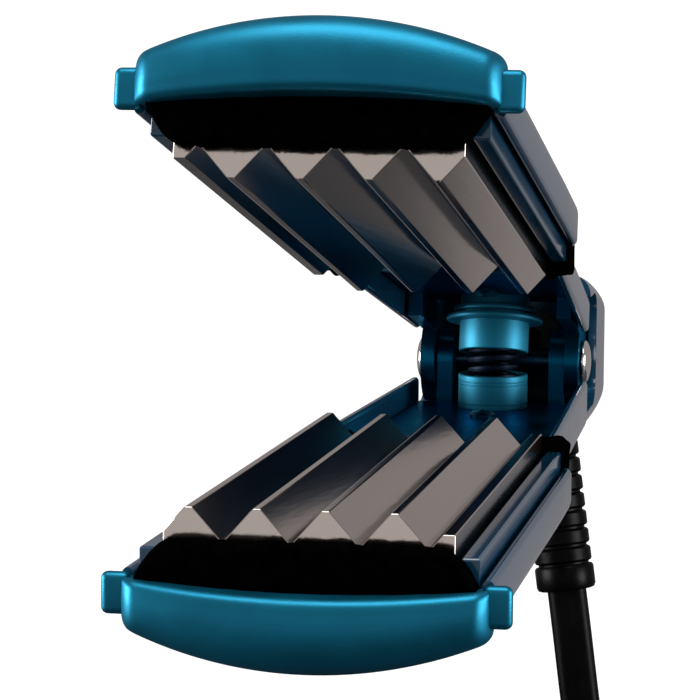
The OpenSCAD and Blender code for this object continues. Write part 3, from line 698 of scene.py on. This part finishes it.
# Painted shade: the spring's near-black is partly its blued wire and partly shade painted into the gap
# between tube and cup.
blued_steel_painted_shade = material("blued_steel_painted_shade", (0.012, 0.020, 0.040), (0.03, 0.045, 0.075), 160, metallic=1.0,
                       rough=(0.28, 0.4), bump=0.05)
spring_low, spring_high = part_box("jaw_spring")
wire_r, coils = 0.0007, 9
coil_steps = 40
spring_y = -column_y * 0.001
mean_r = (spring_high.x - spring_low.x) / 2 - wire_r
climb = spring_high.z - spring_low.z - 2 * wire_r
up = Vector((0, 0, 1))
rings = []
for k in range(coils * coil_steps + 1):
    turn = tau * k / coil_steps
    share = k / (coils * coil_steps)
    closed = ease(share * 4) * ease((1 - share) * 4)
    rise = wire_r + climb * (share + 0.02 * (closed - 1) * (0.5 - share))
    heart = Vector((mean_r * cos(turn), spring_y + mean_r * sin(turn), spring_low.z + rise))
    out = Vector((cos(turn), sin(turn), 0))
    rings.append([tuple((heart + wire_r * (cos(tau * a / 10) * out + sin(tau * a / 10) * up)) * 1000)
                  for a in range(10)])
spring = piece("coil_spring", loft(rings), blued_steel_painted_shade, millimetres, "lower_arm",
               ["jaw_spring"])
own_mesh(spring)


# ---- Electronics and controls ----
# A circuit board under the lower cover carries the thermostat. A power button, an indicator lamp and a
# temperature dial come out through the back of the lower handle.

board_green = material("board_green", (0.008, 0.050, 0.018), (0.014, 0.075, 0.028), 260,
                       rough=(0.3, 0.45), bump=0.1)
dark_parts = material("dark_parts", (0.010, 0.010, 0.011), (0.03, 0.03, 0.032), 400, rough=(0.4, 0.6),
                      bump=0.1)
black_abs = material("black_abs", (0.006, 0.006, 0.007), (0.010, 0.010, 0.011), 200, rough=(0.38, 0.5),
                     bump=0.35, bump_scale=2200)
amber_lens = material("amber_lens", (0.75, 0.25, 0.03), (0.85, 0.32, 0.05), 90, rough=(0.06, 0.12),
                      Transmission_Weight=0.6, Coat_Weight=0.4)
crisp("circuit_board", board_green, 0.1)
crisp("board_components", dark_parts, 0.2)
crisp("dial_shaft_seat", dark_parts, 0.2)

button_y, button_l, button_w = -45, 15, 9
button_foot, button_top, foot_lip, bar_half = 12.2, 16.5, 0.9, 2.2
lamp_y, dial_y, dial_r = -56, -70, 8.5
cut_foot, cut_top = 9, 19


def button_block(grow, z0, z1, radius, steps):
    """The button's outline, grown by a margin on all four sides, between two heights."""
    return block(-button_w / 2 - grow, button_w / 2 + grow, button_y - button_l / 2 - grow,
                 button_y + button_l / 2 + grow, z0, z1, radius, steps)


knob = [button_block(0, button_foot, button_top, 0.9, 4), button_block(foot_lip, button_foot, 13.0, 0.2, 2)]
knob += [block(-bar_half, bar_half, button_y + y - 0.3, button_y + y + 0.3, 16.3, 16.65, 0.12, 2)
         for y in (-1.2, 0, 1.2)]
piece("switch_button", joined(*knob), black_abs, on_lower, "button", ["power_button"])

ridges, dial_steps = 30, 240


def dial_ring(r, z, depth):
    """A ring of the dial, with ridges of a depth for the fingers."""
    ring = []
    for k in range(dial_steps):
        a = tau * k / dial_steps
        wave_r = r - depth * (0.5 + 0.5 * cos(ridges * tau * k / dial_steps))
        ring.append((wave_r * cos(a), dial_y + wave_r * sin(a), z))
    return ring


def hole_cutter(name, r, y, steps):
    """A round cutter through the back of the lower handle."""
    outline = [(0.01, cut_foot), (r, cut_foot), (r, cut_top), (0.01, cut_top)]
    return lower_cutter(name, shifted(turned(outline, steps), 0, y), on_lower)


wheel = [dial_ring(dial_r - 0.3, 15.9, 0.3), dial_ring(dial_r, 16.15, 0.4), dial_ring(dial_r, 18.2, 0.4),
         dial_ring(dial_r - 0.35, 18.7, 0.25), dial_ring(dial_r - 1.0, 18.9, 0),
         dial_ring(dial_r - 1.6, 18.9, 0), dial_ring(dial_r - 2.0, 18.55, 0), dial_ring(1.0, 18.45, 0)]
pointer = block(-0.5, 0.5, dial_y + 2.0, dial_y + dial_r - 1.2, 18.4, 18.85, 0.15, 2)
shaft = shifted(turned([(0.01, 11.3), (1.5, 11.3), (1.5, 16.2), (0.01, 16.2)], 32), 0, dial_y)
piece("heat_dial", joined(loft(wheel), pointer, shaft), black_abs, on_lower, "dial",
      ["temperature_dial"])
lens = [(0.01, 12), (1.5, 12), (1.5, 15.6), (1.35, 15.72), (0.8, 15.79), (0.01, 15.8)]
piece("lamp_lens", shifted(turned(lens, 40), 0, lamp_y), amber_lens, on_lower, "lower_arm",
      ["status_lamp"])
lower_housing = bpy.data.objects["lower_housing"]
slot_cut = lower_cutter("slot_cut", button_block(0.3, 10, cut_top, 0.8, 3), on_lower)
shaft_cut = hole_cutter("shaft_cut", 2.5, dial_y, 40)
lamp_cut = hole_cutter("lamp_cut", 1.6, lamp_y, 32)
cut(lower_housing, slot_cut, shaft_cut, lamp_cut)


# ---- Cord swivel and strain relief ----
# A barrel turns in the tail, so that the cord never twists, and the strain relief swings on a pin across it.
# The relief is moulded onto the cord from soft rubber, with ribs that let it bend evenly.

soft_rubber = material("soft_rubber", (0.0006, 0.0006, 0.0006), (0.0014, 0.0014, 0.0014), 160,
                       rough=(0.30, 0.42), bump=0.15, bump_scale=1800, Specular_IOR_Level=0.06)
crisp("swivel_barrel", black_abs, 0.35, 3)
crisp("swivel_pin", sheet_steel, 0.15)
relief_lean = radians(8.3)
relief_l, relief_r, eye_r = 55, 6.5, 5.9
hanging = millimetres @ Matrix.Translation(swivel_at) @ Matrix.Rotation(-relief_lean, 4, "Y")
collar_l, rib_pitch, ribs = 5.4, 3.9, 10
sleeve = [(0.01, -relief_l), (relief_r - 1.1, -relief_l), (relief_r - 0.35, -relief_l + 0.25),
          (relief_r, -relief_l + 1)]
sleeve += [(relief_r, -relief_l + collar_l - 0.5), (relief_r - 0.3, -relief_l + collar_l)]
for k in range(ribs):
    z = -relief_l + collar_l + k * rib_pitch
    r = relief_r - 0.2
    sleeve += [(r - 0.75, z + 0.15), (r - 0.75, z + 0.55), (r - 0.25, z + 0.75), (r, z + 1.1),
               (r, z + rib_pitch - 0.45), (r - 0.25, z + rib_pitch - 0.1)]
sleeve += [(5.2, -9), (4.7, -5), (4.6, -1), (0.01, -1)]
eye_profile = [(0.01, -5.2), (eye_r - 0.4, -5.2), (eye_r, -4.8), (eye_r, 4.8), (eye_r - 0.4, 5.2),
               (0.01, 5.2)]
eye = moved(turned(eye_profile, 64), Matrix.Rotation(pi / 2, 4, "Y"))
relief = piece("ribbed_relief", joined(turned(sleeve, 80), eye), soft_rubber, hanging, "cord",
               ["strain_relief"])


# ---- Mains cord ----
# A flat twin lead with a groove between its two cores, three metres of it. It hangs from the relief to the
# table, and what isn't needed is folded into a hank of two layers, in which the lead stands on its edge.

cord_w, cord_t = 8.6, 4.7
run = [(7.9, 60, -49.6), (9.3, 60, -59), (10.7, 60.2, -69), (12.1, 60.7, -79), (13.3, 61.2, -89),
       (14.4, 60.8, -98), (15.6, 58.4, -106.5), (16.8, 53.6, -114), (18, 46.6, -120.2), (19, 38, -124.6),
       (19.6, 28, -126.6), (19.6, 18, -126.8)]
lead = [(-43.6, 33, -135.6), (-43.5, 44, -135.5), (-42.8, 54, -134.6), (-41.9, 64, -133.1),
        (-40.9, 72, -132.2), (-40, 78, -132), (-39.6, 84, -132)]
hank_x, hank_y, hank_half, hank_r = -12, -4, 37.5, 12
turn_pitch, turns = 4.9, 5
top_layer, low_layer = -126.8, -135.6


def end_turn(side, r_from, r_to, z_from, z_to):
    """Half a turn round the hank's front (-1) or rear (1) end, which may change radius and height."""
    made = []
    for k in range(1, 24):
        share = k / 24
        r = r_from + (r_to - r_from) * ease(share)
        x = side * -r * cos(pi * share)
        made.append((hank_x + x, hank_y + side * (hank_half + r * sin(pi * share)),
                     z_from + (z_to - z_from) * ease(share)))
    return made


def straight(side, r, z):
    """One straight of a turn: forwards at the right side (1), back at the left side (-1)."""
    return [(hank_x + side * r, hank_y + side * y, z)
            for y in (hank_half, hank_half / 3, -hank_half / 3, -hank_half)]


def hank_points():
    """Five turns inwards in the top layer, then five outwards in the low one."""
    radii = [hank_r + turn_pitch * k for k in range(turns)]
    order = [(r, top_layer) for r in reversed(radii)] + [(r, low_layer) for r in radii]
    made = []
    for k, (r, z) in enumerate(order):
        made += straight(1, r, z) + end_turn(-1, r, r, z, z) + straight(-1, r, z)
        if k + 1 < len(order):
            made += end_turn(1, r, order[k + 1][0], z, order[k + 1][1])
    return made


def smooth_line(points, spacing):
    """A curve through the points, with new points about spacing apart."""
    made = []
    for i in range(len(points) - 1):
        a, b, c, d = (Vector(points[min(max(i + k, 0), len(points) - 1)]) for k in (-1, 0, 1, 2))
        out_speed, in_speed = (c - a) / 2, (d - b) / 2
        span = (c - b).length
        out_speed *= span / max(span, out_speed.length)
        in_speed *= span / max(span, in_speed.length)
        steps = max(1, ceil(span / spacing))
        for k in range(steps):
            t = k / steps
            made.append(b * (1 + 2 * t) * (1 - t) ** 2 + out_speed * t * (1 - t) ** 2
                        + c * t * t * (3 - 2 * t) - in_speed * t * t * (1 - t))
    made.append(Vector(points[-1]))
    return made


line = smooth_line(run + hank_points()[1:-1] + lead, 3)


def cord_section(share):
    """Two round cores side by side: across and thickness at a share of the way round."""
    a = tau * share
    x = cord_w / 2 * cos(a)
    off = max(0, abs(x) - (cord_w - cord_t) / 2)
    groove = 0.35 * max(0, 1 - x * x) ** 2
    return x, (sqrt(max(0, (cord_t / 2) ** 2 - off * off)) - groove) * (1 if share < 0.5 else -1)


profile = [cord_section((k + 0.5) / 32) for k in range(32)]
lengths = [0]
for a, b in zip(line, line[1:]):
    lengths.append(lengths[-1] + (b - a).length)
rings = []
for i, p in enumerate(line):
    way = (line[min(i + 1, len(line) - 1)] - line[max(i - 1, 0)]).normalized()
    laid = Vector((1, 0, 0)).cross(way).normalized()
    upright = Vector((0, 0, 1)).cross(way).normalized()
    on_edge = ease((lengths[i] - 75) / 45) * ease((lengths[-1] - 8 - lengths[i]) / 45)
    face = laid.lerp(upright, on_edge).normalized()
    side = way.cross(face).normalized()
    rings.append([tuple(p + x * side + z * face) for x, z in profile])
flex = piece("flat_cord", loft(rings), soft_rubber, millimetres, "cord",
             ["cord_run", "cord_hank"])


# ---- Cord tie ----
# A strap of hook-and-loop tape holds the hank at its waist. It is woven nylon, 8 mm wide, and laps over
# itself on top.

tape = material("woven_tape", (0.004, 0.004, 0.004), (0.012, 0.012, 0.012), 1400, rough=(0.8, 0.95), bump=0.6,
                bump_scale=1600)
tie_half, tie_low, tie_high = 34.85, -139.95, -121.5
tie_bend, tape_half, tape_t = 2.4, 4, 0.6


def strap(inset):
    """The loop of the strap round the hank, seen along Y."""
    r = tie_bend - inset
    ring = []
    for x, z, start in ((tie_half, tie_high, 0), (-tie_half, tie_high, pi / 2), (-tie_half, tie_low, pi),
                        (tie_half, tie_low, 1.5 * pi)):
        middle_x = x - (1 if x > 0 else -1) * tie_bend
        middle_z = z - tie_bend if z == tie_high else z + tie_bend
        ring += arc(middle_x, middle_z, r, start, start + pi / 2, 6)
    return ring


rings = [[(hank_x + x, hank_y + y, z) for x, z in strap(inset)]
         for y, inset in ((-tape_half, 0), (tape_half, 0), (tape_half, tape_t), (-tape_half, tape_t),
                          (-tape_half, 0))]
lap = block(hank_x + 6, hank_x + 27, hank_y - 3.9, hank_y + 3.9, tie_high - 0.1, tie_high + 0.1, 0.05, 2)
tie = piece("cord_strap", joined(loft(rings, False), lap), tape, millimetres, "cord",
            ["cord_tie"])


# ---- Mains plug ----
# A two-pole plug, moulded onto the end of the lead in the same black compound, with finger ribs on its sides
# and two flat brass blades.

plug_at, plug_turn = (-40, 78, -140), radians(-4)
plug_seat = millimetres @ Matrix.Translation(plug_at) @ Matrix.Rotation(plug_turn, 4, "Z")
plug_l, plug_axis_z = 38, 8


def plug_ring(y, half, high, corner):
    """A rounded rectangle across the plug, a given way from its cord end."""
    ring = []
    for x, z, start in ((1, 1, 0), (-1, 1, pi / 2), (-1, -1, pi), (1, -1, 1.5 * pi)):
        for px, pz in arc(x * (half - corner), plug_axis_z + z * (high - corner), corner, start,
                          start + pi / 2, 6):
            ring.append((px, y, pz))
    return ring


shell = [plug_ring(0, 5.0, 3.4, 3.3), plug_ring(0.6, 5.6, 4.0, 3.8)]
for k in range(3):
    for y, lower in ((2, 0), (4, 0), (4.3, 0.9), (5.2, 0.9)):
        shell.append(plug_ring(y + 3.6 * k, 5.9 - lower, 4.4 + 0.4 * k - lower, 3.8 - lower / 2))
shell += [plug_ring(13.4, 6.4, 5.6, 4.4), plug_ring(16, 9.6, 6.8, 4.2), plug_ring(19, 12, 7.6, 4)]
for k in range(4):
    for y, half in ((20.5, 12.6), (21.1, 12), (22.1, 12), (22.7, 12.6)):
        shell.append(plug_ring(y + 3 * k, half, 7.8, 3.8))
shell += [plug_ring(34, 12.9, 7.9, 3.8), plug_ring(plug_l - 0.8, 12.9, 7.9, 3.8),
          plug_ring(plug_l, 12.3, 7.3, 3.2)]
plug = piece("moulded_plug", loft(shell), soft_rubber, plug_seat, "cord", ["plug_body"],
             sharp=50)
bright_brass = material("bright_brass", (0.60, 0.42, 0.17), (0.70, 0.52, 0.24), 200, metallic=1.0,
                        rough=(0.16, 0.3), bump=0.06, stretch=(1, 0.1, 1))
crisp("plug_blades", bright_brass, 0.35, 3)
